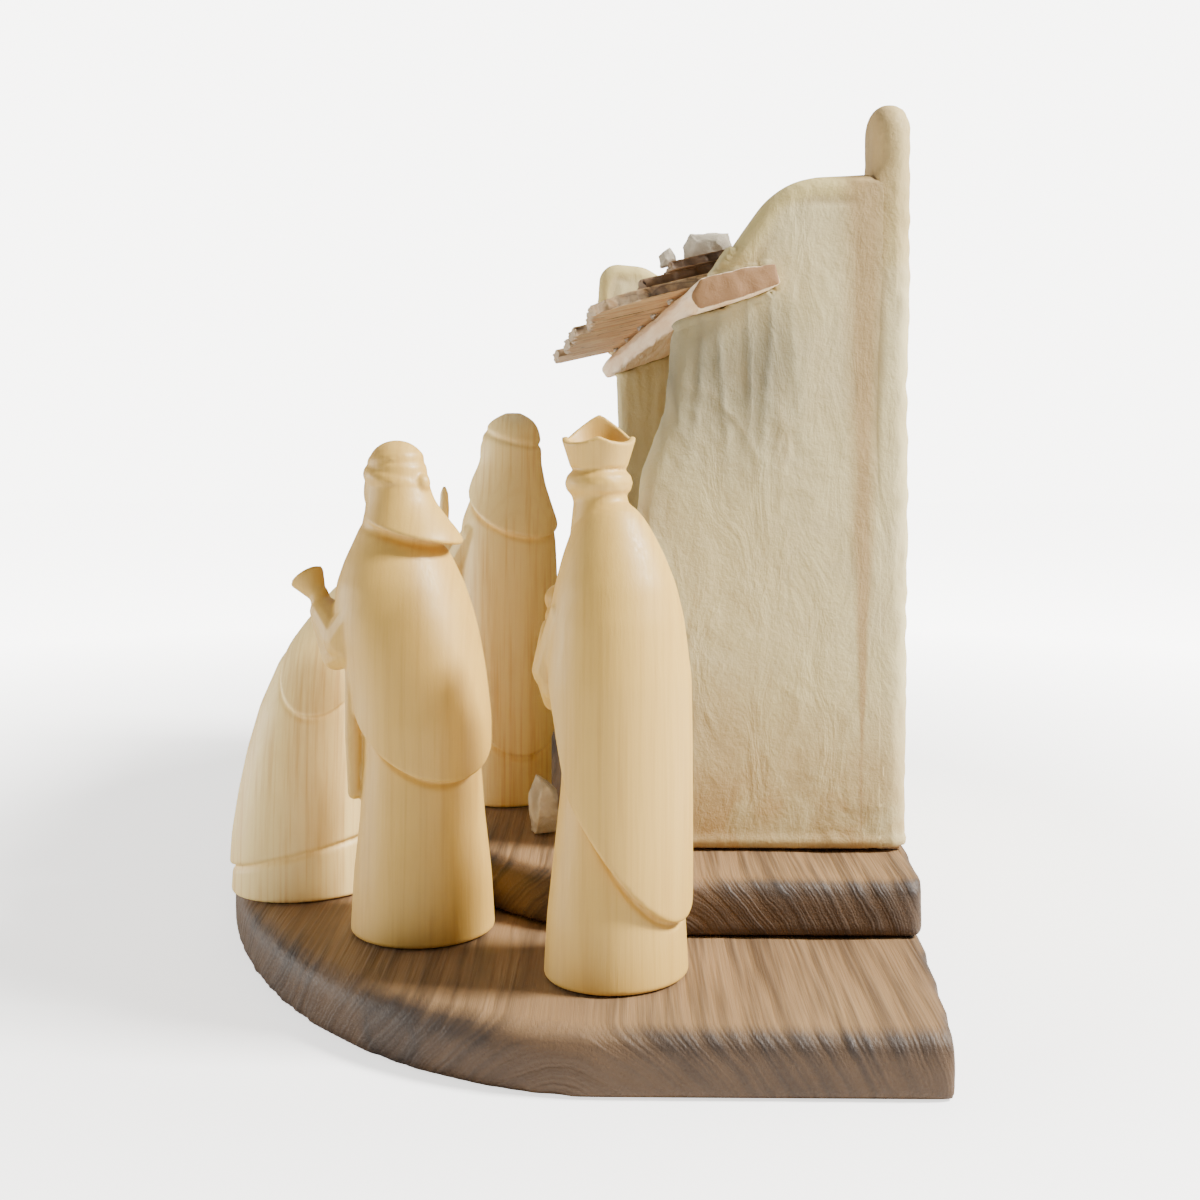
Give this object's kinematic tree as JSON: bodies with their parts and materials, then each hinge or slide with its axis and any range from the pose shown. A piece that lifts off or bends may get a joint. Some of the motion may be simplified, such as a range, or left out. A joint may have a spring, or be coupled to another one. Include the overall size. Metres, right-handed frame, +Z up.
{
  "type": "wooden nativity stable",
  "caption": "Half-round wooden base with a step, plastered walls under a slanted shingle roof, and loose carved wooden figures standing round the open front.",
  "frame": {"origin": "middle of the base's outline, on its underside", "axes": "+X to the stable's right end, +Y to its back wall, +Z up"},
  "size_m": [0.47, 0.249, 0.282],
  "materials": {
    "brushed_softwood": "brushed, scorched softwood with raised grain, waxed",
    "plaster_on_cloth": "cream plaster on cloth, stained brown near its foot",
    "panel_wood": "plain sawn panel wood",
    "beam_wood": "split slat with a pale sawn face and browned ends",
    "board_wood": "split softwood with ragged, darkened ends",
    "split_shingle_wood": "thin dark split wood",
    "broken_stone": "pale broken stone, matt",
    "clear_glue": "set beads of clear glue",
    "zinc_screw": "zinc-plated steel",
    "carved_hardwood": "pale hardwood, carved, sanded and left bare"
  },
  "bodies": {
    "stable": {"back_wall_coat": "plaster_on_cloth", "back_wall_core": "panel_wood", "base_screws": "zinc_screw", "eaves_beam": "beam_wood", "glue_beads": "clear_glue", "ground_stone": "broken_stone", "left_wall_coat": "plaster_on_cloth", "left_wall_core": "panel_wood", "lower_base": "brushed_softwood", "lower_shingle_1": "split_shingle_wood", "lower_shingle_2": "split_shingle_wood", "lower_shingle_3": "split_shingle_wood", "lower_shingle_4": "split_shingle_wood", "lower_shingle_5": "split_shingle_wood", "rear_ledger": "panel_wood", "right_wall_coat": "plaster_on_cloth", "right_wall_core": "panel_wood", "roof_board_1": "board_wood", "roof_board_2": "board_wood", "roof_board_3": "board_wood", "roof_board_4": "board_wood", "roof_board_5": "board_wood", "roof_stone_large": "broken_stone", "roof_stone_small": "broken_stone", "upper_shingle_1": "split_shingle_wood", "upper_shingle_2": "split_shingle_wood", "upper_shingle_3": "split_shingle_wood", "upper_shingle_4": "split_shingle_wood", "upper_shingle_5": "split_shingle_wood", "upper_step": "brushed_softwood", "wall_screws": "zinc_screw"},
    "crowned": {"crowned_figure": "carved_hardwood"},
    "turbaned": {"turbaned_figure": "carved_hardwood"},
    "hooded": {"hooded_figure": "carved_hardwood", "hooded_staff": "carved_hardwood"},
    "kneeling": {"kneeling_figure": "carved_hardwood"}
  },
  "joints": [
    {"name": "crowned_lift", "type": "slide", "parent": "stable", "child": "crowned", "axis": [0, 0, 1], "range_m": [0, 0.04]},
    {"name": "turbaned_lift", "type": "slide", "parent": "stable", "child": "turbaned", "axis": [0, 0, 1], "range_m": [0, 0.04]},
    {"name": "hooded_lift", "type": "slide", "parent": "stable", "child": "hooded", "axis": [0, 0, 1], "range_m": [0, 0.04]},
    {"name": "kneeling_lift", "type": "slide", "parent": "stable", "child": "kneeling", "axis": [0, 0, 1], "range_m": [0, 0.04]}
  ]
}
